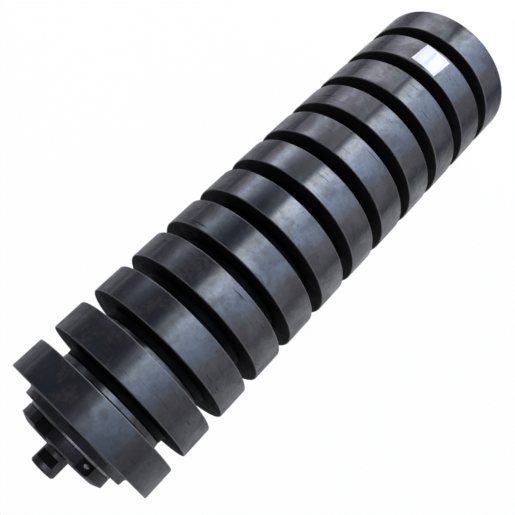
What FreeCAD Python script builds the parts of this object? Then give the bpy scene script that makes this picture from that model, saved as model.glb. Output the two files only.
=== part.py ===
import FreeCAD, Part
import math
import os

# Impact roller for a belt conveyor: stepped rubber rings on a steel tube that turns on two sealed
# ball bearings about a standing shaft. Millimetres. The shaft lies along X, +Z is up, and the
# origin is the middle of the roller. Each end is drawn at +X, and the near end is its mirror image.

# Rubber rings
ring_count = 12
ring_diameter = 159.0
tread_width = 31.0
ring_pitch = 46.0
hub_root_diameter = 112.0
hub_edge_diameter = 110.6
tread_edge_chamfer = 1.0
hub_root_chamfer = 2.5
hub_edge_chamfer = 0.8

# Tube and the collars that keep the rings on it
tube_diameter = 89.0
tube_wall = 4.0
tube_end_margin = 0.3
collar_thickness = 2.2
collar_height = 1.5

# Bearing housings
flange_overhang = 1.7
flange_rim_thickness = 9.0
flange_rise = 3.0
flange_edge_chamfer = 0.8
notch_count = 6
notch_width = 15.0
notch_depth = 4.5
notch_turn = 47.6
press_land = 12.0
lip_height = 5.0
lip_thickness = 4.0

# Shaft
shaft_diameter = 25.0
shaft_projection = 19.0
shaft_end_chamfer = 1.5
shaft_head_length = 6.0
bracket_groove_width = 8.0
width_across_flats = 18.0

# Ball bearings
bearing_diameter = 62.0
bearing_width = 17.0
bearing_corner = 1.1
ball_diameter = 11.5
ball_count = 7
ball_play = 0.2
shoulder_share = 0.3
cage_wall = 3.2
cage_back = 1.5
cage_grip = 2.6
pocket_play = 0.25

# Retaining rings on the shaft
clip_thickness = 1.2
clip_depth = 0.55
clip_height = 3.2
clip_groove_play = 0.1
clip_opening = 9.0
clip_lug_radius = 2.5
clip_hole_radius = 1.0

# Seals and dust covers
seal_sleeve = 3.0
seal_web = 2.0
seal_fins = 2
seal_fin_thickness = 1.4
seal_fin_length = 5.4
seal_running_gap = 1.0
grease_seal_disc = 3.0
grease_seal_collar = 7.0
cover_thickness = 1.6
cover_collar = 1.4

# Radii that several pieces share
ring_radius = ring_diameter / 2
hub_root_radius = hub_root_diameter / 2
hub_edge_radius = hub_edge_diameter / 2
tube_radius = tube_diameter / 2
tube_bore_radius = tube_radius - tube_wall
collar_radius = tube_radius + collar_height
flange_radius = tube_radius + flange_overhang
shaft_radius = shaft_diameter / 2
seat_radius = bearing_diameter / 2
slope_radius = (flange_radius + seat_radius) / 2
lip_radius = seat_radius - lip_height
boss_radius = (seat_radius + tube_bore_radius) / 2
pitch_radius = (shaft_radius + seat_radius) / 2
inner_shoulder_radius = pitch_radius - shoulder_share * ball_diameter
outer_shoulder_radius = pitch_radius + shoulder_share * ball_diameter
clip_groove_radius = shaft_radius - clip_depth
sleeve_radius = shaft_radius + seal_sleeve
shell_radius = seat_radius - seal_sleeve
cover_radius = seat_radius - seal_running_gap

# Places along the shaft, from the middle outwards
rubber_end = ring_count * ring_pitch / 2
tube_end = rubber_end + collar_thickness + tube_end_margin
flange_rim = tube_end + flange_rim_thickness
flange_face = flange_rim + flange_rise
shaft_end = flange_face + shaft_projection
groove_outer = shaft_end - shaft_head_length
groove_inner = groove_outer - bracket_groove_width

# Places inside each end, worked inwards from the flange face to the bearing
cover_outer = flange_face - cover_collar
cover_inner = cover_outer - cover_thickness
standing_web_inner = cover_inner - seal_web
turning_web_outer = standing_web_inner - seal_fin_length - seal_running_gap
turning_web_inner = turning_web_outer - seal_web
bearing_outer = turning_web_inner - clip_thickness - seal_running_gap
bearing_inner = bearing_outer - bearing_width
bearing_middle = (bearing_outer + bearing_inner) / 2
housing_inner = bearing_inner - lip_thickness

ORIGIN = FreeCAD.Vector(0, 0, 0)
ALONG_SHAFT = FreeCAD.Vector(1, 0, 0)


def turned(profile):
    """Solid turned about the shaft axis from a closed outline of (place along the shaft, radius)."""
    points = [FreeCAD.Vector(x, 0, radius) for x, radius in profile]
    outline = Part.makePolygon(points + points[:1])
    return Part.Face(outline).revolve(ORIGIN, ALONG_SHAFT, 360)


def washer(start, end, bore, outside):
    """Plain ring between two places along the shaft."""
    return turned([(start, bore), (end, bore), (end, outside), (start, outside)])


def circles(solid, places):
    """The circular edges of a solid at the given (place along the shaft, radius) pairs."""
    found = []
    for edge in solid.Edges:
        curve = edge.Curve
        if not isinstance(curve, Part.Circle):
            continue
        for x, radius in places:
            if abs(curve.Center.x - x) < 1e-6 and abs(curve.Radius - radius) < 1e-6:
                found.append(edge)
                break
    return found


def around(radius, turn, x):
    """Point at a radius from the shaft axis, turned from the top towards -Y, in degrees."""
    angle = math.radians(turn)
    return FreeCAD.Vector(x, -radius * math.sin(angle), radius * math.cos(angle))


def rubber_ring(middle):
    """Stepped ring: a tread on a wider hub, whose tapered shoulders butt against the next hubs."""
    hub_left = middle - ring_pitch / 2
    hub_right = middle + ring_pitch / 2
    tread_left = middle - tread_width / 2
    tread_right = middle + tread_width / 2
    ring = turned([
        (hub_left, tube_radius),
        (hub_right, tube_radius),
        (hub_right, hub_edge_radius),
        (tread_right, hub_root_radius),
        (tread_right, ring_radius),
        (tread_left, ring_radius),
        (tread_left, hub_root_radius),
        (hub_left, hub_edge_radius),
    ])
    roots = circles(ring, [(tread_left, hub_root_radius), (tread_right, hub_root_radius)])
    ring = ring.makeChamfer(hub_root_chamfer, roots)
    tread_edges = circles(ring, [(tread_left, ring_radius), (tread_right, ring_radius)])
    ring = ring.makeChamfer(tread_edge_chamfer, tread_edges)
    hub_edges = circles(ring, [(hub_left, hub_edge_radius), (hub_right, hub_edge_radius)])
    return ring.makeChamfer(hub_edge_chamfer, hub_edges)


def roller_tube():
    return washer(-tube_end, tube_end, tube_bore_radius, tube_radius)


def shaft():
    """Round bar with a groove for each retaining ring and a pair of bracket flats near each end."""
    bar = washer(-shaft_end, shaft_end, 0, shaft_radius)
    end_edges = circles(bar, [(-shaft_end, shaft_radius), (shaft_end, shaft_radius)])
    bar = bar.makeChamfer(shaft_end_chamfer, end_edges)
    clip_groove_end = bearing_outer + clip_thickness + clip_groove_play
    cuts = [washer(bearing_outer, clip_groove_end, clip_groove_radius, shaft_diameter)]
    for side in (1, -1):
        flat = Part.makeBox(bracket_groove_width, shaft_diameter, shaft_diameter)
        lowest = width_across_flats / 2 if side > 0 else -width_across_flats / 2 - shaft_diameter
        flat.translate(FreeCAD.Vector(groove_inner, -shaft_radius, lowest))
        cuts.append(flat)
    for cut in cuts:
        bar = bar.cut(cut).cut(mirrored(cut))
    return bar


def stop_collar():
    return washer(rubber_end, rubber_end + collar_thickness, tube_radius, collar_radius)


def bearing_housing():
    """Turned cup: sloped, notched flange on the tube end, press land in the bore, boss round the bearing."""
    land_inner = tube_end - press_land
    boss_start = land_inner - (tube_bore_radius - boss_radius)
    cup = turned([
        (flange_face, seat_radius),
        (bearing_inner, seat_radius),
        (bearing_inner, lip_radius),
        (housing_inner, lip_radius),
        (housing_inner, boss_radius),
        (boss_start, boss_radius),
        (land_inner, tube_bore_radius),
        (tube_end, tube_bore_radius),
        (tube_end, flange_radius),
        (flange_rim, flange_radius),
        (flange_face, slope_radius),
    ])
    cup = cup.makeChamfer(flange_edge_chamfer, circles(cup, [(flange_rim, flange_radius)]))
    for step in range(notch_count):
        notch = Part.makeBox(flange_face - tube_end, notch_width, notch_depth + flange_radius)
        notch.translate(FreeCAD.Vector(tube_end, -notch_width / 2, flange_radius - notch_depth))
        notch.rotate(ORIGIN, ALONG_SHAFT, notch_turn + step * 360 / notch_count)
        cup = cup.cut(notch)
    return cup


def race_groove():
    """Ring-shaped channel that the balls run in, cut from both bearing rings."""
    middle = FreeCAD.Vector(bearing_middle, 0, 0)
    return Part.makeTorus(pitch_radius, ball_diameter / 2 + ball_play, middle, ALONG_SHAFT)


def bearing_outer_ring():
    ring = washer(bearing_inner, bearing_outer, outer_shoulder_radius, seat_radius)
    corners = circles(ring, [(bearing_inner, seat_radius), (bearing_outer, seat_radius)])
    return ring.makeChamfer(bearing_corner, corners).cut(race_groove())


def bearing_inner_ring():
    ring = washer(bearing_inner, bearing_outer, shaft_radius, inner_shoulder_radius)
    corners = circles(ring, [(bearing_inner, shaft_radius), (bearing_outer, shaft_radius)])
    return ring.makeChamfer(bearing_corner, corners).cut(race_groove())


def balls(radius):
    """One ball in each place of a bearing, as a group of separate solids."""
    spheres = []
    for step in range(ball_count):
        centre = around(pitch_radius, step * 360 / ball_count, bearing_middle)
        spheres.append(Part.makeSphere(radius, centre))
    return Part.makeCompound(spheres)


def bearing_balls():
    return balls(ball_diameter / 2)


def bearing_cage():
    """Crown cage: a ring behind the balls, with fingers that reach past their middle."""
    pocket_radius = ball_diameter / 2 + pocket_play
    ring = washer(
        bearing_middle - pocket_radius - cage_back,
        bearing_middle + cage_grip,
        pitch_radius - cage_wall / 2,
        pitch_radius + cage_wall / 2,
    )
    return ring.cut(balls(pocket_radius))


def retaining_ring():
    """Open spring ring in the shaft groove, with two eyed lugs beside its opening."""
    outer = bearing_outer + clip_thickness
    clip_radius = shaft_radius + clip_height
    ring = washer(bearing_outer, outer, clip_groove_radius, clip_radius)
    opening = Part.makeBox(clip_thickness, clip_opening, clip_radius + clip_lug_radius)
    opening.translate(FreeCAD.Vector(bearing_outer, -clip_opening / 2, 0))
    ring = ring.cut(opening)
    lug_centre = clip_radius - clip_hole_radius
    lug_turn = math.degrees(math.asin((clip_opening / 2 + clip_lug_radius) / lug_centre))
    for turn in (-lug_turn, lug_turn):
        centre = around(lug_centre, turn, bearing_outer)
        lug = Part.makeCylinder(clip_lug_radius, clip_thickness, centre, ALONG_SHAFT)
        eye = Part.makeCylinder(clip_hole_radius, clip_thickness, centre, ALONG_SHAFT)
        ring = ring.fuse(lug).cut(eye)
    return ring.removeSplitter()


def grease_seal():
    """Collar on the shaft behind the bearing, with a disc that fills the mouth of the housing lip."""
    disc_outer = bearing_inner - seal_running_gap
    return turned([
        (bearing_inner, shaft_radius),
        (bearing_inner, sleeve_radius),
        (disc_outer, sleeve_radius),
        (disc_outer, lip_radius - seal_running_gap),
        (disc_outer - grease_seal_disc, lip_radius - seal_running_gap),
        (disc_outer - grease_seal_disc, sleeve_radius),
        (bearing_inner - grease_seal_collar, sleeve_radius),
        (bearing_inner - grease_seal_collar, shaft_radius),
    ])


def fin_bands():
    """Inner and outer radii of the interleaved seal fins, from the shaft outwards."""
    fins = 2 * seal_fins
    gap = (shell_radius - sleeve_radius - fins * seal_fin_thickness) / (fins + 1)
    bands = []
    for step in range(fins):
        bore = sleeve_radius + gap + step * (gap + seal_fin_thickness)
        bands.append((bore, bore + seal_fin_thickness))
    return bands


def turning_seal():
    """Half of the labyrinth that turns with the housing: shell, web and every other fin."""
    bands = fin_bands()
    seal = washer(bearing_outer, cover_inner - seal_running_gap, shell_radius, seat_radius)
    seal = seal.fuse(washer(turning_web_inner, turning_web_outer, bands[0][0], seat_radius))
    for bore, outside in bands[0::2]:
        seal = seal.fuse(washer(turning_web_inner, turning_web_outer + seal_fin_length, bore, outside))
    return seal.removeSplitter()


def standing_seal():
    """Half of the labyrinth that stands with the shaft: sleeve, web and the other fins."""
    bands = fin_bands()
    seal = washer(bearing_outer + clip_thickness, cover_inner, shaft_radius, sleeve_radius)
    seal = seal.fuse(washer(standing_web_inner, cover_inner, shaft_radius, bands[-1][1]))
    for bore, outside in bands[1::2]:
        seal = seal.fuse(washer(standing_web_inner - seal_fin_length, cover_inner, bore, outside))
    return seal.removeSplitter()


def dust_cover():
    """Plate on the shaft that closes the mouth of the housing, with a collar on its outside."""
    return turned([
        (cover_inner, shaft_radius),
        (flange_face, shaft_radius),
        (flange_face, sleeve_radius),
        (cover_outer, sleeve_radius),
        (cover_outer, cover_radius),
        (cover_inner, cover_radius),
    ])


def mirrored(shape):
    """The same shape at the other end of the roller."""
    return shape.mirror(ORIGIN, ALONG_SHAFT)


def export(shape, name):
    shape.exportStep("parts/" + name + ".step")


os.makedirs("parts", exist_ok=True)

export(shaft(), "shaft")
export(roller_tube(), "roller_tube")
for number in range(ring_count):
    ring_middle = (number + 0.5) * ring_pitch - rubber_end
    export(rubber_ring(ring_middle), "rubber_ring_{:02d}".format(number + 1))

end_pieces = {
    "stop_collar": stop_collar,
    "bearing_housing": bearing_housing,
    "bearing_outer_ring": bearing_outer_ring,
    "bearing_inner_ring": bearing_inner_ring,
    "bearing_balls": bearing_balls,
    "bearing_cage": bearing_cage,
    "retaining_ring": retaining_ring,
    "grease_seal": grease_seal,
    "turning_seal": turning_seal,
    "standing_seal": standing_seal,
    "dust_cover": dust_cover,
}
for name, make in end_pieces.items():
    piece = make()
    export(piece, "far_" + name)
    export(mirrored(piece), "near_" + name)
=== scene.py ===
import bmesh
import bpy
import math
from mathutils import Euler, Matrix, Vector


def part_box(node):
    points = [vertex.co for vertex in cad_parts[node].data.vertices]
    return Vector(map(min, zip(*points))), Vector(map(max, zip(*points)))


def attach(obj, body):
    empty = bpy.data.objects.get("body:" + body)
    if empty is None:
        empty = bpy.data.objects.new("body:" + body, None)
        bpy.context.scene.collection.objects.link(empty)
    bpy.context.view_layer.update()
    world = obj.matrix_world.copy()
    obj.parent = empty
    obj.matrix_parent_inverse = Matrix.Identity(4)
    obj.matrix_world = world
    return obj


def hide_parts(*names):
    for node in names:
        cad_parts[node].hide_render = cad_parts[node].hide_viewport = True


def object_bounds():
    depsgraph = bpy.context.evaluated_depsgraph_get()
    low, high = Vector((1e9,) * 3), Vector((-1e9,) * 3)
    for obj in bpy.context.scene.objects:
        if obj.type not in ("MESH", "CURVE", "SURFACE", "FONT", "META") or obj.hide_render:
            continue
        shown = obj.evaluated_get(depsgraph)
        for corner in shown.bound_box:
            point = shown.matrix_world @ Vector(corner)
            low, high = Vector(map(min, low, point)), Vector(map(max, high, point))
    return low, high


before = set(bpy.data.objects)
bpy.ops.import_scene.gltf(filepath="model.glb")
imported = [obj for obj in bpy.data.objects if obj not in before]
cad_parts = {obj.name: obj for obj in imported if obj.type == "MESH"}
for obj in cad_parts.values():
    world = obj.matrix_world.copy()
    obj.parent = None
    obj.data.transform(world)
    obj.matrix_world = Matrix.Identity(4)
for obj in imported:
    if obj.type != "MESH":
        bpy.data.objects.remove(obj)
cad_low, cad_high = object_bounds()

# Impact roller: twelve stepped rubber rings on a steel tube, which turns about a standing shaft.
# Metres. The shaft lies along X, +Z is up, and the near end, towards the camera, is at -X.
# Each end is drawn at +X, and the near end is its mirror image.

MM = 0.001
AXIS = Vector((1, 0, 0))
CENTRE = Vector((0, 0, 0))
SIDES = ("near", "far")
MERGE_DISTANCE = 1e-6

# Sizes that several pieces share, read from the frame
ring_count = 12
ring_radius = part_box("rubber_ring_01")[1].z
first_ring_middle = (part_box("rubber_ring_01")[0].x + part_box("rubber_ring_01")[1].x) / 2
ring_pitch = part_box("rubber_ring_01")[1].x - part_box("rubber_ring_01")[0].x
tube_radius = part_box("roller_tube")[1].z
tube_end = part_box("roller_tube")[1].x
flange_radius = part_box("far_bearing_housing")[1].z
flange_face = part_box("far_bearing_housing")[1].x
housing_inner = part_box("far_bearing_housing")[0].x
collar_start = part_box("far_stop_collar")[0].x
collar_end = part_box("far_stop_collar")[1].x
collar_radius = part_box("far_stop_collar")[1].z
cover_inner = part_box("far_dust_cover")[0].x
cover_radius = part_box("far_dust_cover")[1].z
clip_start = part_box("far_retaining_ring")[0].x
shaft_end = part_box("shaft")[1].x
shaft_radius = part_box("shaft")[1].z
bearing_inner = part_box("far_bearing_outer_ring")[0].x
seat_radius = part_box("far_bearing_outer_ring")[1].z

# Rubber rings
tread_width = 31 * MM
hub_root_radius = 56 * MM
hub_edge_radius = 55.3 * MM
tread_round = 1.0 * MM
hub_root_round = 2.5 * MM
hub_edge_round = 0.8 * MM
film_thickness = 0.12 * MM
tread_radius = ring_radius - film_thickness
ring_steps = 192

# Start and end of each change in the finish of the rubber: out to the tread, sideways to its edges, which
# are lighter from wear and a painted highlight, and up from the hub, towards which the colour darkens as
# painted shade. The hubs at the near end are smooth from handling, which fades out between two numbers of
# ring pitches past the first ring.
tread_finish = (tread_radius - 1.2 * MM, tread_radius - 0.4 * MM)
edge_finish = (tread_width / 2 - 1.3 * MM, tread_width / 2 - 0.4 * MM)
hub_finish = (hub_root_radius + hub_root_round, hub_root_radius + 8 * MM)
handled_pitches = (1.2, 3)

# Sticker on the eleventh ring: where it sits on the tread and how far it is askew
sticker_ring = 11
sticker_length = 25.4 * MM
sticker_round = math.radians(21.4)
sticker_start = math.radians(-5.3)
sticker_shift = 1.6 * MM
sticker_drift = -2.4 * MM
sticker_slant = math.radians(1.6)
sticker_steps = 24

# Lines on the sticker, in shares of its width and length: outside and inside of the border, and the
# middle and half width of the divider
border_outside = 0.44
border_inside = 0.405
divider_place = (0.47, 0.055)

# Tube, collars, housings and covers
tube_wall = 4 * MM
flange_rise = 3 * MM
notch_count = 6
notch_width = 15 * MM
notch_depth = 4.5 * MM
notch_turn = math.radians(47.6)
press_land = 12 * MM
lip_height = 5 * MM
lip_thickness = 4 * MM
bore_clearance = 0.05 * MM
cover_thickness = 1.6 * MM
cover_collar_radius = 15.5 * MM
small_round = 0.3 * MM
flange_round = 0.7 * MM
turned_steps = 128
arc_steps = 12
round_segments = 4
edge_segments = 2
sharp_angle = math.radians(40)
flat_face_weight = 80

# Painted shade, dark and dull, in the notch floors and below: how far along the shaft it reaches, and the
# radii between which it sets in
notch_shade_reach = flange_face - 0.6 * flange_rise
notch_shade_radii = (flange_radius - 0.3 * notch_depth, flange_radius - 0.7 * notch_depth)

# Shaft
shaft_chamfer = 1.5 * MM
shaft_head = 6 * MM
groove_width = 8 * MM
across_flats = 18 * MM
clip_groove_width = 1.3 * MM
clip_groove_radius = 11.95 * MM
centre_hole_radius = 3 * MM
centre_hole_depth = 4 * MM
centre_hole_taper = 0.2
shaft_round = 0.2 * MM
shaft_steps = 96

# Tack welds, in every other notch of the flanges
bead_count = 3
bead_turn = math.radians(3.7)
bead_place = 4 * MM
bead_length = 6.8 * MM
bead_width = 3.6 * MM
bead_height = 2.8 * MM
bead_stand = 0.2 * bead_height
bead_ripples = 3
ripple_swell = 0.08
lump_swell = 0.16
lump_waves = (9, 7)
bead_steps = 24


# Shader node helpers

def add(tree, kind, **values):
    """A node of a kind, with its settings, and its inputs by name or by number."""
    node = tree.nodes.new("ShaderNode" + kind)
    inputs = values.pop("inputs", {})
    for name, value in values.items():
        setattr(node, name, value)
    for name, value in inputs.items():
        socket = node.inputs[name]
        if isinstance(value, bpy.types.NodeSocket):
            tree.links.new(value, socket)
        else:
            socket.default_value = value
    return node


def shade(tree, fac, stops):
    """Colour ramp over a mask, from (place, colour) stops."""
    ramp = add(tree, "ValToRGB", inputs={"Fac": fac})
    elements = ramp.color_ramp.elements
    while len(elements) < len(stops):
        elements.new(0.5)
    for element, (place, colour) in zip(elements, stops):
        element.position = place
        element.color = (*colour, 1)
    return ramp.outputs["Color"]


def span(tree, value, low, high, to_low, to_high):
    """A value taken from one range to another, and held at its ends."""
    node = add(tree, "MapRange", inputs={
        "Value": value, "From Min": low, "From Max": high, "To Min": to_low, "To Max": to_high,
    })
    return node.outputs["Result"]


def maths(tree, operation, first, second=0.0):
    """Result of an operation on one or two values."""
    return add(tree, "Math", operation=operation, inputs={0: first, 1: second}).outputs["Value"]


def total(tree, *shares):
    """Sum of masks, each given with its weight."""
    result = 0.0
    for mask, weight in shares:
        result = maths(tree, "ADD", maths(tree, "MULTIPLY", mask, weight), result)
    return result


def without(tree, value, mask, share):
    """A value with a share of it taken away where a mask is white."""
    return maths(tree, "MULTIPLY", value, span(tree, mask, 0.0, 1.0, 1.0, 1.0 - share))


def band(tree, value, middle, half):
    """White within a distance of a middle value."""
    away = maths(tree, "ABSOLUTE", maths(tree, "SUBTRACT", value, middle))
    return maths(tree, "LESS_THAN", away, half)


def soft_step(tree, value, level, softness):
    """White where a value is over a level, with a soft edge."""
    low = maths(tree, "SUBTRACT", level, softness)
    high = maths(tree, "ADD", level, softness)
    return span(tree, value, low, high, 0.0, 1.0)


def object_place(tree):
    """Place in the object's own coordinates."""
    return add(tree, "TexCoord").outputs["Object"]


def noise(tree, scale, detail, roughness=0.5, distortion=0.0, vector=None):
    """Fractal noise over the object's place, or over another vector."""
    return add(tree, "TexNoise", inputs={
        "Vector": vector or object_place(tree), "Scale": scale, "Detail": detail, "Roughness": roughness,
        "Distortion": distortion,
    }).outputs["Fac"]


def shaft_place(tree):
    """Place along the shaft, and distance from its axis."""
    place = add(tree, "SeparateXYZ", inputs={0: object_place(tree)}).outputs
    across = add(tree, "CombineXYZ", inputs={"X": place["Y"], "Y": place["Z"]}).outputs["Vector"]
    distance = add(tree, "VectorMath", operation="LENGTH", inputs={0: across}).outputs["Value"]
    return place["X"], distance


def new_group(name, inputs, outputs):
    """Empty shader node group with named number inputs and outputs."""
    tree = bpy.data.node_groups.new(name, "ShaderNodeTree")
    for socket_name, value in inputs.items():
        socket = tree.interface.new_socket(socket_name, in_out="INPUT", socket_type="NodeSocketFloat")
        socket.default_value = value
    for socket_name in outputs:
        tree.interface.new_socket(socket_name, in_out="OUTPUT", socket_type="NodeSocketFloat")
    return tree, tree.nodes.new("NodeGroupInput").outputs, tree.nodes.new("NodeGroupOutput").inputs


def use(tree, group, **values):
    """The mask of a node group placed in a material with its own values."""
    node = add(tree, "Group", node_tree=group)
    for name, value in values.items():
        node.inputs[name].default_value = value
    return node.outputs["Mask"]


# Effects that several finishes share

def make_cloud_group():
    """Soft patches, as left by wiping, handling and weather."""
    inputs = {"Scale": 60.0, "Level": 0.5, "Softness": 0.2}
    tree, given, result = new_group("cloudy patches", inputs, ["Mask"])
    cloud = noise(tree, given["Scale"], 5.0, roughness=0.55, distortion=0.6)
    tree.links.new(soft_step(tree, cloud, given["Level"], given["Softness"]), result["Mask"])
    return tree


def make_streak_group():
    """Marks that run round the roller, narrow along the shaft and long across it."""
    inputs = {"Across": 700.0, "Along": 16.0, "Level": 0.6, "Softness": 0.1}
    tree, given, result = new_group("running streaks", inputs, ["Mask"])
    place = add(tree, "SeparateXYZ", inputs={0: object_place(tree)}).outputs
    stretched = add(tree, "CombineXYZ", inputs={
        "X": maths(tree, "MULTIPLY", place["X"], given["Across"]),
        "Y": maths(tree, "MULTIPLY", place["Y"], given["Along"]),
        "Z": maths(tree, "MULTIPLY", place["Z"], given["Along"]),
    }).outputs["Vector"]
    streak = noise(tree, 1.0, 3.0, vector=stretched)
    tree.links.new(soft_step(tree, streak, given["Level"], given["Softness"]), result["Mask"])
    return tree


def make_speck_group():
    """Small round specks, only some of the cells having one."""
    tree, given, result = new_group("specks", {"Scale": 400.0, "Size": 0.25, "Share": 0.3}, ["Mask"])
    cells = add(tree, "TexVoronoi", inputs={"Vector": object_place(tree), "Scale": given["Scale"]}).outputs
    shape = span(tree, cells["Distance"], given["Size"], 0.0, 0.0, 1.0)
    lot = add(tree, "SeparateColor", inputs={"Color": cells["Color"]}).outputs["Red"]
    chosen = maths(tree, "LESS_THAN", lot, given["Share"])
    tree.links.new(maths(tree, "MULTIPLY", shape, chosen), result["Mask"])
    return tree


def make_turning_group():
    """Tool marks of a lathe: fine rings by place along the shaft and by distance from its axis."""
    tree, given, result = new_group("turning marks", {"Pitch": 2500.0}, ["Mask"])
    along, distance = shaft_place(tree)
    rings = add(tree, "CombineXYZ", inputs={"X": along, "Y": distance}).outputs["Vector"]
    tree.links.new(noise(tree, given["Pitch"], 2.0, roughness=0.6, vector=rings), result["Mask"])
    return tree


cloudy = make_cloud_group()
streaks = make_streak_group()
specks = make_speck_group()
turning = make_turning_group()


# Finishes

def new_material(name, **sockets):
    """Material with a Principled BSDF whose even values are set on its own sockets."""
    material = bpy.data.materials.new(name)
    material.use_nodes = True
    tree = material.node_tree
    shader = tree.nodes["Principled BSDF"]
    for socket, value in sockets.items():
        shader.inputs[socket.replace("_", " ")].default_value = value
    return material, tree, shader


def wire(tree, shader, **outputs):
    """Links outputs to the shader's sockets of these names."""
    for socket, output in outputs.items():
        tree.links.new(output, shader.inputs[socket.replace("_", " ")])


def bump(tree, shader, height, distance):
    """Relief of a height mask, as deep as a distance."""
    node = add(tree, "Bump", inputs={"Height": height, "Distance": distance})
    wire(tree, shader, Normal=node.outputs["Normal"])


def moulded_rubber():
    """Black rubber: worn smooth on the tread, with dull bloom, scuffs and pits, matt and dusty on the
    sides, which darken to painted shade towards the hubs, and tread edges lighter from wear and a painted
    highlight.
    """
    material, tree, shader = new_material(
        "moulded rubber", Specular_IOR_Level=0.12, Coat_IOR=2.0, Coat_Roughness=0.12,
    )
    along, distance = shaft_place(tree)
    tread = span(tree, distance, *tread_finish, 0.0, 1.0)
    hub = span(tree, distance, *hub_finish, 1.0, 0.0)
    from_middle = maths(tree, "SUBTRACT", along, first_ring_middle)
    beside = maths(tree, "PINGPONG", from_middle, ring_pitch / 2)
    along_pitch = maths(tree, "FLOORED_MODULO", from_middle, ring_pitch)
    inner_half = maths(tree, "LESS_THAN", along_pitch, ring_pitch / 2)
    edge = span(tree, beside, *edge_finish, 0.0, 1.0)
    worn_and_lit_edge = maths(tree, "MULTIPLY", edge, tread)
    handled_from, handled_to = [first_ring_middle + count * ring_pitch for count in handled_pitches]
    handled = span(tree, along, handled_from, handled_to, 0.9, 0.0)
    outer_end = maths(tree, "LESS_THAN", along, first_ring_middle)
    smooth_half = maths(tree, "MAXIMUM", inner_half, outer_end)
    smooth_hub = maths(tree, "MULTIPLY", maths(tree, "MULTIPLY", hub, smooth_half), handled)
    polished = maths(tree, "MAXIMUM", tread, smooth_hub)

    bloom = use(tree, cloudy, Scale=34.0, Level=0.53, Softness=0.06)
    smears = use(tree, cloudy, Scale=90.0, Level=0.5, Softness=0.18)
    mottle = use(tree, cloudy, Scale=240.0, Level=0.5, Softness=0.12)
    grit = use(tree, cloudy, Scale=560.0, Level=0.5, Softness=0.14)
    wiped = use(tree, streaks, Across=230.0, Along=20.0, Level=0.52, Softness=0.2)
    scuffs = use(tree, streaks, Across=420.0, Along=38.0, Level=0.7, Softness=0.05)
    scratches = use(tree, streaks, Across=800.0, Along=13.0, Level=0.72, Softness=0.05)
    pits = use(tree, specks, Scale=330.0, Size=0.3, Share=0.06)
    grain = noise(tree, 1600.0, 2.0)
    dull = total(tree, (bloom, 0.44), (smears, 0.18), (mottle, 0.2), (grit, 0.13), (wiped, 0.05))
    faint_scratches = maths(tree, "MULTIPLY", scratches, 0.8)
    marks = maths(tree, "MAXIMUM", maths(tree, "MAXIMUM", pits, scuffs), faint_scratches)

    worn = shade(tree, dull, [
        (0.3, (0.001, 0.003, 0.007)), (0.6, (0.010, 0.010, 0.013)), (0.95, (0.039, 0.034, 0.037)),
    ])
    # Sides: dusty and lighter up high, darkening to near black towards the hub as painted shade in the
    # gaps between rings.
    dusty = add(tree, "Mix", data_type="RGBA", inputs={
        "Factor": span(tree, tread, 0.0, 1.0, 0.7, 0.0), "A": worn,
        "B": shade(tree, hub, [(0.0, (0.032, 0.028, 0.028)), (1.0, (0.001, 0.001, 0.001))]),
    })
    # Tread edges lighter: partly wear, partly a painted highlight along the rims.
    lit_edge = add(tree, "Mix", data_type="RGBA", inputs={
        "Factor": maths(tree, "MULTIPLY", worn_and_lit_edge, 0.45), "A": dusty.outputs["Result"],
        "B": (0.24, 0.22, 0.22, 1),
    })
    gloss = without(tree, without(tree, polished, dull, 0.74), marks, 0.9)
    smooth = total(tree, (dull, 0.16), (grain, 0.14), (marks, 0.2))
    rough = add(tree, "Mix", inputs={
        "Factor": polished, "A": 0.55, "B": maths(tree, "ADD", smooth, 0.2),
    })
    wire(
        tree, shader, Base_Color=lit_edge.outputs["Result"], Coat_Weight=gloss,
        Roughness=rough.outputs["Result"],
    )
    waves = total(tree, (noise(tree, 42.0, 2.0), 1.0), (noise(tree, 150.0, 2.0), 0.2))
    skin = total(tree, (waves, 1.0), (mottle, 0.02), (wiped, 0.05), (grain, 0.012))
    bump(tree, shader, without(tree, skin, marks, 0.1), 2.5 * MM)
    return material


def dark_enamel(name, dark, worn):
    """Black paint, a little dusty, thin in patches, with painted shade, dark and dull, in the notch
    floors.
    """
    material, tree, shader = new_material(name, Specular_IOR_Level=0.42)
    along, distance = shaft_place(tree)
    # Painted shade: the paint turns dark and dull in the notch floors.
    behind = maths(tree, "LESS_THAN", maths(tree, "ABSOLUTE", along), notch_shade_reach)
    notch_shade = maths(tree, "MULTIPLY", behind, span(tree, distance, *notch_shade_radii, 0.0, 1.0))
    dust = use(tree, cloudy, Scale=130.0, Softness=0.2)
    chips = use(tree, specks, Scale=700.0, Size=0.4, Share=0.12)
    mixed = maths(tree, "MAXIMUM", maths(tree, "MULTIPLY", dust, 0.5), chips)
    bare = without(tree, mixed, notch_shade, 1.0)
    colour = shade(tree, bare, [(0.0, dark), (1.0, worn)])
    dusty = span(tree, dust, 0.0, 1.0, 0.06, 0.16)
    rough = maths(tree, "MAXIMUM", dusty, maths(tree, "MULTIPLY", notch_shade, 0.9))
    wire(tree, shader, Base_Color=colour, Roughness=rough)
    bump(tree, shader, noise(tree, 900.0, 2.0), 0.05 * MM)
    return material


def bracket_flats(tree):
    """White on the milled flats near the shaft ends, where the steel is made near black."""
    place = add(tree, "SeparateXYZ", inputs={0: object_place(tree)}).outputs
    along = maths(tree, "ABSOLUTE", place["X"])
    height = maths(tree, "ABSOLUTE", place["Z"])
    groove = band(tree, along, shaft_end - shaft_head - groove_width / 2, groove_width / 2)
    return maths(tree, "MULTIPLY", groove, band(tree, height, across_flats / 2, small_round))


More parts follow.
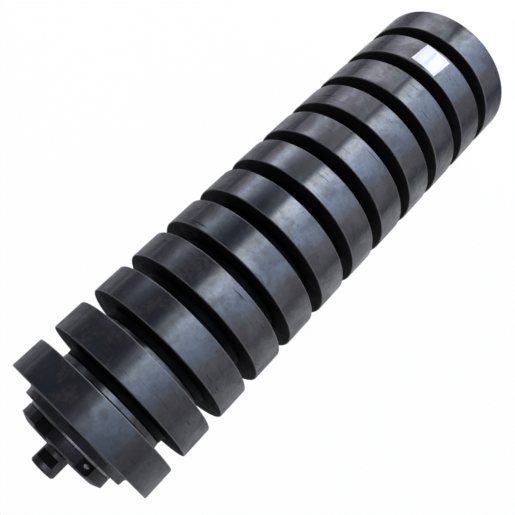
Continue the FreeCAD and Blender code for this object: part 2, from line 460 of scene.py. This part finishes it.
def turned_steel(name, dark, bright, smoothest, roughest, pitch, darkened=None):
    """Bare steel with lathe rings and patches of handling, near black where a given mask is white."""
    material, tree, shader = new_material(name, Metallic=1.0)
    rings = use(tree, turning, Pitch=pitch)
    handled = use(tree, cloudy, Scale=110.0, Softness=0.25)
    mixed = total(tree, (rings, 0.4), (handled, 0.6))
    # Near black where the given mask is white, as on the shaft's milled flats.
    if darkened:
        mixed = without(tree, mixed, darkened(tree), 0.9)
    black = [0.12 * part for part in dark]
    colour = shade(tree, mixed, [(0.0, black), (0.15, dark), (0.9, bright)])
    rough = span(tree, mixed, 0.1, 0.9, roughest, smoothest)
    wire(tree, shader, Base_Color=colour, Roughness=rough)
    bump(tree, shader, rings, 0.02 * MM)
    return material


def moulded_nylon(name, pale, dark):
    """Plain engineering plastic with a fine matt skin."""
    material, tree, shader = new_material(name)
    patches = use(tree, cloudy, Scale=150.0, Softness=0.3)
    colour = shade(tree, patches, [(0.0, dark), (1.0, pale)])
    wire(tree, shader, Base_Color=colour, Roughness=span(tree, patches, 0.0, 1.0, 0.38, 0.52))
    bump(tree, shader, use(tree, specks, Scale=1500.0, Size=0.6, Share=0.7), 0.02 * MM)
    return material


def weld_metal():
    """Bright weld bead with a heat-tinted skin."""
    material, tree, shader = new_material("weld metal", Metallic=1.0)
    heat = use(tree, cloudy, Scale=420.0, Softness=0.25)
    colour = shade(tree, heat, [(0.1, (0.30, 0.28, 0.27)), (0.8, (0.96, 0.92, 0.89))])
    wire(tree, shader, Base_Color=colour, Roughness=span(tree, heat, 0.0, 1.0, 0.6, 0.42))
    return material


def label_film():
    """Blank white sticker: pale border, one divider and two bare panels, drawn on its own map."""
    material, tree, shader = new_material("label film")
    place = add(tree, "SeparateXYZ", inputs={0: add(tree, "UVMap", uv_map="label").outputs["UV"]}).outputs
    paper = use(tree, cloudy, Scale=220.0, Softness=0.4)
    white = shade(tree, paper, [(0.0, (0.83, 0.84, 0.85)), (1.0, (0.87, 0.88, 0.89))])
    framed, panels = [
        maths(tree, "MULTIPLY", band(tree, place["X"], 0.5, half), band(tree, place["Y"], 0.5, half))
        for half in (border_outside, border_inside)
    ]
    divider = maths(tree, "MULTIPLY", band(tree, place["Y"], *divider_place), panels)
    border = maths(tree, "SUBTRACT", framed, panels)
    lines = maths(tree, "MAXIMUM", border, divider)
    inked = add(tree, "Mix", data_type="RGBA", inputs={
        "Factor": maths(tree, "MULTIPLY", lines, 0.6), "A": white, "B": (0.48, 0.65, 0.92, 1),
    })
    rough = span(tree, paper, 0.0, 1.0, 0.32, 0.45)
    wire(tree, shader, Base_Color=inked.outputs["Result"], Roughness=rough)
    return material


rubber = moulded_rubber()
housing_paint = dark_enamel("housing paint", (0.004, 0.003, 0.004), (0.036, 0.031, 0.034))
cover_paint = dark_enamel("cover paint", (0.006, 0.005, 0.006), (0.040, 0.034, 0.036))
tube_steel = turned_steel("tube steel", (0.05, 0.05, 0.05), (0.17, 0.17, 0.17), 0.4, 0.6, 900.0)
collar_steel = turned_steel("collar steel", (0.10, 0.09, 0.085), (0.56, 0.52, 0.48), 0.10, 0.18, 2200.0)
shaft_steel = turned_steel(
    "shaft steel", (0.06, 0.054, 0.055), (0.20, 0.18, 0.18), 0.22, 0.36, 2600.0, darkened=bracket_flats,
)
bearing_steel = turned_steel("bearing steel", (0.55, 0.55, 0.56), (0.82, 0.82, 0.83), 0.08, 0.2, 5000.0)
spring_steel = turned_steel("spring steel", (0.05, 0.05, 0.055), (0.14, 0.14, 0.15), 0.3, 0.45, 1800.0)
cage_nylon = moulded_nylon("cage nylon", (0.62, 0.57, 0.44), (0.52, 0.47, 0.35))
seal_nylon = moulded_nylon("seal nylon", (0.030, 0.030, 0.032), (0.018, 0.018, 0.020))
weld_steel = weld_metal()
label_white = label_film()


# Mesh helpers

def around(radius, turn, x):
    """Point at a radius from the shaft axis, turned from the top towards -Y."""
    return Vector((x, -radius * math.sin(turn), radius * math.cos(turn)))


def rounded_outline(bm, outline):
    """Closed wire in the X-Z plane through (place, radius, rounding) points, with its corners rounded."""
    corners = [bm.verts.new((x, 0, radius)) for x, radius, _ in outline]
    for start, end in zip(corners, corners[1:] + corners[:1]):
        bm.edges.new((start, end))
    for corner, (_, _, rounding) in zip(corners, outline):
        if rounding:
            bmesh.ops.bevel(
                bm, geom=[corner], offset=rounding, offset_type="OFFSET", segments=round_segments,
                profile=0.5, affect="VERTICES", material=-1,
            )


def turned(outline, steps):
    """Solid of revolution about the shaft axis."""
    bm = bmesh.new()
    rounded_outline(bm, outline)
    bmesh.ops.spin(
        bm, geom=bm.verts[:] + bm.edges[:], cent=CENTRE, axis=AXIS, angle=2 * math.pi, steps=steps,
        use_merge=True, use_duplicate=False,
    )
    return bm


def round_loop(bm, x, radius, steps):
    """Closed circle of edges about the shaft axis."""
    facing = Matrix.Translation((x, 0, 0)) @ Matrix.Rotation(math.pi / 2, 4, "Y")
    verts = bmesh.ops.create_circle(bm, segments=steps, radius=radius, matrix=facing)["verts"]
    return list(dict.fromkeys(edge for vert in verts for edge in vert.link_edges))


def drawn_on(bm, loop, x, share=1.0):
    """Extrudes a loop of edges to another place along the shaft, with its radius scaled by a share."""
    out = bmesh.ops.extrude_edge_only(bm, edges=loop)["geom"]
    verts = [item for item in out if isinstance(item, bmesh.types.BMVert)]
    for vert in verts:
        vert.co.x = x
    bmesh.ops.scale(bm, vec=(1, share, share), verts=verts)
    return [item for item in out if isinstance(item, bmesh.types.BMEdge)]


def set_end(bm, side):
    """Leaves a shape at the far end, or mirrors it to the near one."""
    if side == "near":
        bmesh.ops.scale(bm, vec=(-1, 1, 1), verts=bm.verts[:])


def piece(bm, name, material, body, nodes=(), edge_round=0.0):
    """Finished object from a bmesh: closed, facing outwards, riding on its body."""
    bmesh.ops.remove_doubles(bm, verts=bm.verts[:], dist=MERGE_DISTANCE)
    bmesh.ops.recalc_face_normals(bm, faces=bm.faces[:])
    for face in bm.faces:
        face.smooth = True
    mesh = bpy.data.meshes.new(name)
    bm.to_mesh(mesh)
    bm.free()
    mesh.materials.append(material)
    made = bpy.data.objects.new(name, mesh)
    bpy.context.scene.collection.objects.link(made)
    if edge_round:
        rounding = made.modifiers.new("edge rounding", "BEVEL")
        rounding.width = edge_round
        rounding.segments = edge_segments
        rounding.limit_method = "ANGLE"
        rounding.angle_limit = sharp_angle
    normals = made.modifiers.new("flat faces", "WEIGHTED_NORMAL")
    normals.weight = flat_face_weight
    normals.keep_sharp = True
    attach(made, body)
    if nodes:
        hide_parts(*nodes)


# Rubber rings

def make_ring(number):
    """Stepped ring: a tread in the middle of a wider hub with tapered shoulders."""
    node = "rubber_ring_{:02d}".format(number)
    low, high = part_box(node)
    middle = (low.x + high.x) / 2
    left = middle - tread_width / 2
    right = middle + tread_width / 2
    bm = turned([
        (low.x, tube_radius, 0),
        (high.x, tube_radius, 0),
        (high.x, hub_edge_radius, hub_edge_round),
        (right, hub_root_radius, hub_root_round),
        (right, tread_radius, tread_round),
        (left, tread_radius, tread_round),
        (left, hub_root_radius, hub_root_round),
        (low.x, hub_edge_radius, hub_edge_round),
    ], ring_steps)
    piece(bm, "ring_{:02d}".format(number), rubber, "roller", [node])


# Sticker

def make_sticker():
    """Thin curved film on the tread, laid on a little askew."""
    low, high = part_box("rubber_ring_{:02d}".format(sticker_ring))
    middle = (low.x + high.x) / 2 + sticker_shift
    bm = bmesh.new()
    uv = bm.loops.layers.uv.new("label")
    half = sticker_length / 2
    slant = sticker_slant / 2
    start = bm.verts.new(around(tread_radius, sticker_start - slant, middle - half))
    end = bm.verts.new(around(tread_radius, sticker_start + slant, middle + half))
    edge = bm.edges.new((start, end))
    bmesh.ops.spin(
        bm, geom=[start, end, edge], cent=CENTRE, axis=AXIS, dvec=(sticker_drift / sticker_steps, 0, 0),
        angle=sticker_round, steps=sticker_steps, use_duplicate=False,
    )
    for face in bm.faces:
        for loop in face.loops:
            turn = math.atan2(-loop.vert.co.y, loop.vert.co.z)
            share = (turn - sticker_start) / sticker_round
            across = (loop.vert.co.x - middle - sticker_drift * share) / sticker_length
            loop[uv].uv = (across + 0.5, share)
    bmesh.ops.recalc_face_normals(bm, faces=bm.faces[:])
    bmesh.ops.solidify(bm, geom=bm.faces[:], thickness=-film_thickness)
    piece(bm, "blank_sticker", label_white, "roller")


# Tube and stop collars

def make_tube():
    """Plain steel tube under the rubber rings."""
    bm = turned([
        (-tube_end, tube_radius - tube_wall, small_round),
        (tube_end, tube_radius - tube_wall, small_round),
        (tube_end, tube_radius, small_round),
        (-tube_end, tube_radius, small_round),
    ], turned_steps)
    piece(bm, "tube", tube_steel, "roller", ["roller_tube"])


def make_collar(side):
    """Thin ring on the tube that stops the row of rubber rings."""
    bm = turned([
        (collar_start, tube_radius, 0),
        (collar_end, tube_radius, 0),
        (collar_end, collar_radius, small_round),
        (collar_start, collar_radius, small_round),
    ], ring_steps)
    set_end(bm, side)
    piece(bm, side + "_collar", collar_steel, "roller", [side + "_stop_collar"])


# Bearing housings

def notched_loop(bm, x):
    """Closed loop of edges round the flange rim, with its flat-floored notches."""
    floor = flange_radius - notch_depth
    half = notch_width / 2
    rim_height = math.sqrt(flange_radius ** 2 - half ** 2)
    half_angle = math.asin(half / flange_radius)
    step = 2 * math.pi / notch_count
    for count in range(notch_count):
        turned_by = Matrix.Rotation(notch_turn + count * step, 3, "X")
        places = [(x, half, rim_height), (x, half, floor), (x, -half, floor), (x, -half, rim_height)]
        corners = [bm.verts.new(turned_by @ Vector(place)) for place in places]
        for pair in zip(corners, corners[1:]):
            bm.edges.new(pair)
        bmesh.ops.spin(
            bm, geom=[corners[-1]], cent=CENTRE, axis=AXIS, angle=step - 2 * half_angle, steps=arc_steps,
            use_duplicate=False,
        )
    bmesh.ops.remove_doubles(bm, verts=bm.verts[:], dist=MERGE_DISTANCE)
    return bm.edges[:]


def make_housing(side):
    """Cup with a sloped, notched flange on the tube end, a press land and a boss round the bearing."""
    bm = bmesh.new()
    land_radius = tube_radius - tube_wall - bore_clearance
    boss_radius = (seat_radius + tube_radius - tube_wall) / 2
    slope_radius = (flange_radius + seat_radius) / 2
    lip_radius = seat_radius - lip_height
    land_inner = tube_end - press_land
    boss_start = land_inner - (land_radius - boss_radius)

    rim = notched_loop(bm, tube_end)
    front = drawn_on(bm, rim, flange_face)
    for vert in {vert for edge in front for vert in edge.verts}:
        height = math.hypot(vert.co.y, vert.co.z) - slope_radius
        vert.co.x -= flange_rise * height / (flange_radius - slope_radius)
    face = round_loop(bm, flange_face, slope_radius, turned_steps)
    bmesh.ops.triangle_fill(bm, use_beauty=True, edges=front + face)
    bore = drawn_on(bm, face, flange_face, seat_radius / slope_radius)
    bore = drawn_on(bm, bore, bearing_inner)
    lip = drawn_on(bm, bore, bearing_inner, lip_radius / seat_radius)
    inside = drawn_on(bm, lip, bearing_inner - lip_thickness)

    land = round_loop(bm, tube_end, land_radius, turned_steps)
    bmesh.ops.triangle_fill(bm, use_beauty=True, edges=rim + land)
    land = drawn_on(bm, land, land_inner)
    boss = drawn_on(bm, land, boss_start, boss_radius / land_radius)
    outside = drawn_on(bm, boss, housing_inner)
    bmesh.ops.bridge_loops(bm, edges=outside + inside)
    set_end(bm, side)
    piece(
        bm, side + "_housing", housing_paint, "roller", [side + "_bearing_housing"],
        edge_round=flange_round,
    )


# Tack welds

def make_welds(side):
    """Short rippled beads in the corner between a notch floor and the tube end."""
    bm = bmesh.new()
    floor = flange_radius - notch_depth
    for count in range(bead_count):
        bead = bmesh.ops.create_uvsphere(
            bm, u_segments=bead_steps, v_segments=bead_steps, radius=0.5,
        )["verts"]
        for vert in bead:
            swell = 1 + ripple_swell * math.cos(vert.co.z * 2 * math.pi * bead_ripples)
            wave = lump_waves[0] * vert.co.x + lump_waves[1] * vert.co.z + count
            lump = lump_swell * math.sin(wave)
            vert.co.x *= swell + lump
            vert.co.y *= swell - lump
        bmesh.ops.scale(bm, vec=(bead_width, bead_height, bead_length), verts=bead)
        bmesh.ops.rotate(bm, cent=CENTRE, matrix=Matrix.Rotation(math.pi / 2, 3, "X"), verts=bead)
        bmesh.ops.translate(bm, vec=(tube_end + bead_place, 0, floor + bead_stand), verts=bead)
        turn = notch_turn + bead_turn + count * 2 * math.pi / bead_count
        bmesh.ops.rotate(bm, cent=CENTRE, matrix=Matrix.Rotation(turn, 3, "X"), verts=bead)
    set_end(bm, side)
    piece(bm, side + "_tack_welds", weld_steel, "roller")


# Dust covers

def make_cover(side):
    """Plate on the shaft in the mouth of the housing, with a collar on its outside."""
    plate_face = cover_inner + cover_thickness
    bm = turned([
        (cover_inner, shaft_radius, 0),
        (flange_face, shaft_radius, small_round),
        (flange_face, cover_collar_radius, small_round),
        (plate_face, cover_collar_radius, small_round),
        (plate_face, cover_radius, small_round),
        (cover_inner, cover_radius, small_round),
    ], turned_steps)
    set_end(bm, side)
    piece(bm, side + "_cover", cover_paint, "axle", [side + "_dust_cover"])


# Shaft

def milled_rim(bm, x):
    """Circle at one end of the bracket flats with the walls above them, and the loop of the neck."""
    flat_height = across_flats / 2
    flat_half = math.sqrt(shaft_radius ** 2 - flat_height ** 2)
    circle = round_loop(bm, x, shaft_radius, shaft_steps)
    verts = list(dict.fromkeys(vert for edge in circle for vert in edge.verts))
    neck = list(circle)
    for up in (1, -1):
        corners = []
        for across in (-flat_half, flat_half):
            corner = Vector((x, across, up * flat_height))
            nearest = min(verts, key=lambda vert: (vert.co - corner).length)
            nearest.co = corner
            corners.append(nearest)
        chord = bm.edges.new(corners)
        arc = [
            edge for edge in circle
            if min(vert.co.z * up for vert in edge.verts) > flat_height - small_round
        ]
        bmesh.ops.contextual_create(bm, geom=arc + [chord])
        neck = [edge for edge in neck if edge not in arc] + [chord]
    return circle, neck


def make_shaft():
    """Round bar with clip grooves, a pair of milled bracket flats near each end and centred ends."""
    bm = bmesh.new()
    groove_outer = shaft_end - shaft_head
    inner_rim, inner_neck = milled_rim(bm, groove_outer - groove_width)
    outer_rim, outer_neck = milled_rim(bm, groove_outer)
    bmesh.ops.bridge_loops(bm, edges=inner_neck + outer_neck)

    end_radius = shaft_radius - shaft_chamfer
    tip = drawn_on(bm, outer_rim, shaft_end - shaft_chamfer)
    tip = drawn_on(bm, tip, shaft_end, end_radius / shaft_radius)
    tip = drawn_on(bm, tip, shaft_end, centre_hole_radius / end_radius)
    tip = drawn_on(bm, tip, shaft_end - centre_hole_depth, centre_hole_taper)
    bmesh.ops.contextual_create(bm, geom=tip)

    neck_share = clip_groove_radius / shaft_radius
    bar = drawn_on(bm, inner_rim, clip_start + clip_groove_width)
    bar = drawn_on(bm, bar, clip_start + clip_groove_width, neck_share)
    bar = drawn_on(bm, bar, clip_start)
    bar = drawn_on(bm, bar, clip_start, 1 / neck_share)
    drawn_on(bm, bar, 0)
    bmesh.ops.mirror(bm, geom=bm.verts[:] + bm.edges[:] + bm.faces[:], axis="X", merge_dist=MERGE_DISTANCE)
    piece(bm, "shaft_bar", shaft_steel, "axle", ["shaft"], edge_round=shaft_round)


for number in range(1, ring_count + 1):
    make_ring(number)
make_sticker()
make_tube()
for side in SIDES:
    make_collar(side)
    make_housing(side)
    make_welds(side)
    make_cover(side)
make_shaft()


# Finishes of the inner pieces, which keep their solids

inner_finishes = {
    "bearing_outer_ring": bearing_steel,
    "bearing_inner_ring": bearing_steel,
    "bearing_balls": bearing_steel,
    "bearing_cage": cage_nylon,
    "retaining_ring": spring_steel,
    "grease_seal": seal_nylon,
    "turning_seal": seal_nylon,
    "standing_seal": seal_nylon,
}
for side in SIDES:
    for name, material in inner_finishes.items():
        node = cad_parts[side + "_" + name]
        node.data.materials.clear()
        node.data.materials.append(material)


# Stage: pale floor, soft light and camera

floor_reach = 1.0
floor_place = -0.1
floor_drop = 0.2 * MM
floor_colour = (0.88, 0.90, 0.95, 1)
floor_skew = 0.5
floor_glow_seen = 0.95
floor_glow_mirrored = 0.05
world_colour = (0.112, 0.122, 0.158)
backdrop_mirrored = 0.02

# The floor fades out across the shaft and along it, by (place, share) stops
floor_fade_across = [
    (-1.0, 0.0), (-0.9, 0.3), (-0.7, 0.45), (-0.5, 0.6), (-0.4, 0.68), (-0.3, 0.82), (-0.2, 1.0),
    (-0.14, 1.0), (-0.1, 0.75), (-0.05, 0.5), (0.1, 0.55), (0.2, 0.58), (0.37, 0.5), (0.6, 0.42),
    (0.8, 0.3), (0.9, 0.0),
]
floor_fade_along = [
    (-1.0, 0.0), (-0.6, 0.7), (-0.1, 0.74), (0.0, 0.9), (0.08, 1.0), (0.2, 1.0), (0.3, 0.84), (0.4, 0.5),
    (0.47, 0.32), (0.55, 0.2), (0.75, 0.1), (0.9, 0.0),
]

camera_sensor = 36.0
camera_clip = 0.01
camera_lens = 45.92
camera_place = Vector((-266.35, -174.43, 570.54)) * MM
camera_turn = Euler([math.radians(angle) for angle in (26.294, -1.998, -48.413)], "XYZ")

# Soft boxes round the roller. Their angles are taken about the shaft from the top towards -Y. Each has
# (angle, brightness, tint) stops across it and (place, share) stops along the shaft. Each is made twice:
# tinted for what glossy surfaces mirror, and a little further off, plain for the light on dull ones.
mirrored_distance = 1.5
plain_distance = 1.53
WATTS_PER_RADIANCE = 4.0
DAYLIGHT = (0.93, 1.0, 1.10)
SKY = (0.76, 0.94, 1.30)
HAZE = (1.0, 0.93, 1.05)
COOL = (0.84, 0.97, 1.2)
PLAIN = (0.87, 0.855, 0.83)
soft_boxes = {
    "strip box": (
        [(-18, 0.06, SKY), (-13, 0.16, SKY), (-8, 0.85, COOL), (-2, 4.3, DAYLIGHT), (4, 4.4, DAYLIGHT),
         (13, 1.1, SKY), (17, 0.4, SKY)],
        [(-0.6, 0.02), (-0.3, 0.03), (-0.2, 0.05), (-0.05, 0.1), (0.12, 0.22), (0.29, 0.42), (0.46, 0.64),
         (0.62, 0.81), (0.79, 1.0), (0.96, 0.76), (1.2, 0.64), (1.95, 0.62)],
    ),
    "sky box": (
        [(4, 0.02, SKY), (13, 2.9, COOL), (17, 2.7, COOL), (34, 1.9, SKY), (51, 1.34, SKY),
         (68, 0.74, DAYLIGHT)],
        [(-0.6, 0.0), (-0.4, 0.02), (-0.32, 0.14), (-0.26, 0.38), (-0.1, 0.57), (0.2, 0.82), (0.5, 0.97),
         (0.8, 1.0), (1.1, 0.89), (1.95, 0.83)],
    ),
    "side box": (
        [(68, 0.66, HAZE), (82, 0.5, HAZE), (92, 0.39, HAZE), (98, 0.24, HAZE), (104, 0.1, HAZE)],
        [(-0.6, 0.1), (-0.3, 0.35), (0.1, 0.8), (0.35, 1.0), (0.9, 1.0), (1.2, 0.84), (1.95, 0.72)],
    ),
    "back box": (
        [(-84, 0.13, HAZE), (-75, 0.5, HAZE), (-69, 1.0, HAZE), (-63, 2.3, COOL), (-58, 2.7, COOL),
         (-52, 1.8, COOL), (-46, 0.9, COOL), (-39, 0.3, SKY), (-30, 0.06, SKY)],
        [(0.0, 0.06), (0.12, 0.12), (0.29, 0.35), (0.46, 0.5), (0.62, 0.85), (0.79, 1.0), (0.96, 0.58),
         (1.2, 0.34), (1.95, 0.3)],
    ),
    "low box": (
        [(-97, 0.24, HAZE), (-93, 0.3, HAZE), (-89, 0.14, HAZE), (-84, 0.03, HAZE)],
        [(-0.6, 0.9), (0.3, 0.9), (0.8, 0.6), (1.95, 0.4)],
    ),
    "far box": (
        [(-84, 0.3, HAZE), (-72, 0.5, HAZE), (-62, 0.6, HAZE), (-46, 1.5, HAZE), (-38, 1.45, HAZE),
         (-26, 1.1, DAYLIGHT), (-13, 0.95, DAYLIGHT)],
        [(0.7, 0.1), (0.96, 0.45), (1.3, 1.0), (1.95, 1.0)],
    ),
}

# Low soft boxes past the two ends of the shaft, which fill the end faces and aren't mirrored
end_box_tall = 0.4
end_box_wide = 0.9
end_box_distance = 1.6
end_box_height = 0.14
end_box_brightness = 9.0


def make_floor():
    """Pale floor just under the roller, which fades out and keeps the roller's shadow."""
    bm = bmesh.new()
    bmesh.ops.create_grid(bm, x_segments=1, y_segments=1, size=floor_reach)
    bmesh.ops.translate(bm, vec=(floor_place, 0, cad_low.z - floor_drop), verts=bm.verts[:])
    mesh = bpy.data.meshes.new("floor")
    bm.to_mesh(mesh)
    bm.free()
    material = bpy.data.materials.new("pale floor")
    material.use_nodes = True
    tree = material.node_tree
    path = add(tree, "LightPath").outputs
    seen = maths(tree, "MAXIMUM", path["Is Camera Ray"], path["Is Transmission Ray"])
    glow = total(tree, (seen, floor_glow_seen), (path["Is Glossy Ray"], floor_glow_mirrored))
    surface = add(tree, "MixShader", inputs={
        0: glow,
        1: add(tree, "BsdfDiffuse", inputs={"Color": floor_colour}).outputs["BSDF"],
        2: add(tree, "Emission").outputs["Emission"],
    })
    place = add(tree, "SeparateXYZ", inputs={0: object_place(tree)}).outputs
    across = place["Y"]
    along = total(tree, (place["X"], 1.0), (place["Y"], -floor_skew))
    fade = 1.0
    for distance, stops in ((across, floor_fade_across), (along, floor_fade_along)):
        reached = span(tree, distance, -floor_reach, floor_reach, 0.0, 1.0)
        share = shade(tree, reached, [
            ((stop / floor_reach + 1) / 2, [level] * 3) for stop, level in stops
        ])
        fade = maths(tree, "MULTIPLY", share, fade)
    faded = add(tree, "MixShader", inputs={
        0: fade,
        1: add(tree, "BsdfTransparent").outputs["BSDF"],
        2: surface.outputs["Shader"],
    })
    tree.links.new(faded.outputs["Shader"], tree.nodes["Material Output"].inputs["Surface"])
    mesh.materials.append(material)
    floor = bpy.data.objects.new("floor", mesh)
    bpy.context.scene.collection.objects.link(floor)


def make_soft_box(name, across, along, mirrored):
    """Flat lamp that faces the shaft, with its brightness running across it and along it."""
    panel_distance = mirrored_distance if mirrored else plain_distance
    first = math.radians(across[0][0])
    last = math.radians(across[-1][0])
    middle = (first + last) / 2
    reach = math.tan((last - first) / 2)
    start = along[0][0]
    end = along[-1][0]
    peak = max(brightness for _, brightness, _ in across)
    lamp = bpy.data.lights.new(name, "AREA")
    lamp.shape = "RECTANGLE"
    lamp.size = end - start
    lamp.size_y = 2 * panel_distance * reach
    lamp.energy = WATTS_PER_RADIANCE * peak * lamp.size * lamp.size_y
    lamp.use_nodes = True
    tree = lamp.node_tree
    place = add(tree, "SeparateXYZ", inputs={0: add(tree, "NewGeometry").outputs["Parametric"]}).outputs
    across_stops = []
    for angle, brightness, tint in across:
        share = math.tan(math.radians(angle) - middle) / reach
        shown = tint if mirrored else PLAIN
        across_stops.insert(0, (0.5 - share / 2, [brightness / peak * part for part in shown]))
    along_stops = [((x - start) / (end - start), [level] * 3) for x, level in along]
    colour = add(tree, "Mix", data_type="RGBA", blend_type="MULTIPLY", inputs={
        "Factor": 1.0, "A": shade(tree, place["Y"], across_stops),
        "B": shade(tree, place["X"], along_stops),
    })
    tree.links.new(colour.outputs["Result"], tree.nodes["Emission"].inputs["Color"])
    made = bpy.data.objects.new(name, lamp)
    made.location = around(panel_distance, middle, (start + end) / 2)
    made.rotation_euler = (middle, 0, 0)
    made.visible_glossy = mirrored
    made.visible_diffuse = not mirrored
    bpy.context.scene.collection.objects.link(made)


def make_end_box(side):
    """Flat lamp past one end of the shaft, facing the middle of the roller."""
    outward = -1 if side == "near" else 1
    lamp = bpy.data.lights.new(side + " end box", "AREA")
    lamp.shape = "RECTANGLE"
    lamp.size = end_box_tall
    lamp.size_y = end_box_wide
    lamp.color = PLAIN
    lamp.energy = WATTS_PER_RADIANCE * end_box_brightness * end_box_tall * end_box_wide
    made = bpy.data.objects.new(side + " end box", lamp)
    made.location = (outward * end_box_distance, 0, end_box_height)
    made.rotation_euler = (0, outward * math.atan2(end_box_distance, end_box_height), 0)
    made.visible_glossy = False
    bpy.context.scene.collection.objects.link(made)


def make_world():
    """White backdrop as the camera sees it, and a dim bluish room round the roller."""
    world = bpy.data.worlds.new("studio")
    world.use_nodes = True
    tree = world.node_tree
    path = add(tree, "LightPath").outputs
    seen = maths(tree, "MAXIMUM", path["Is Camera Ray"], path["Is Transmission Ray"])
    glow = total(tree, (seen, 1.0), (path["Is Glossy Ray"], backdrop_mirrored))
    colour = shade(tree, glow, [(0.0, world_colour), (1.0, (1, 1, 1))])
    tree.links.new(colour, tree.nodes["Background"].inputs["Color"])
    bpy.context.scene.world = world


def make_camera():
    """Camera close by and steeply above the near end."""
    camera = bpy.data.cameras.new("camera")
    camera.sensor_width = camera_sensor
    camera.lens = camera_lens
    camera.clip_start = camera_clip
    made = bpy.data.objects.new("camera", camera)
    made.location = camera_place
    made.rotation_euler = camera_turn
    bpy.context.scene.collection.objects.link(made)
    bpy.context.scene.camera = made


make_floor()
for name, (across, along) in soft_boxes.items():
    make_soft_box(name, across, along, mirrored=True)
    make_soft_box("plain " + name, across, along, mirrored=False)
for side in SIDES:
    make_end_box(side)
make_world()
make_camera()
bpy.context.scene.view_settings.view_transform = "Standard"
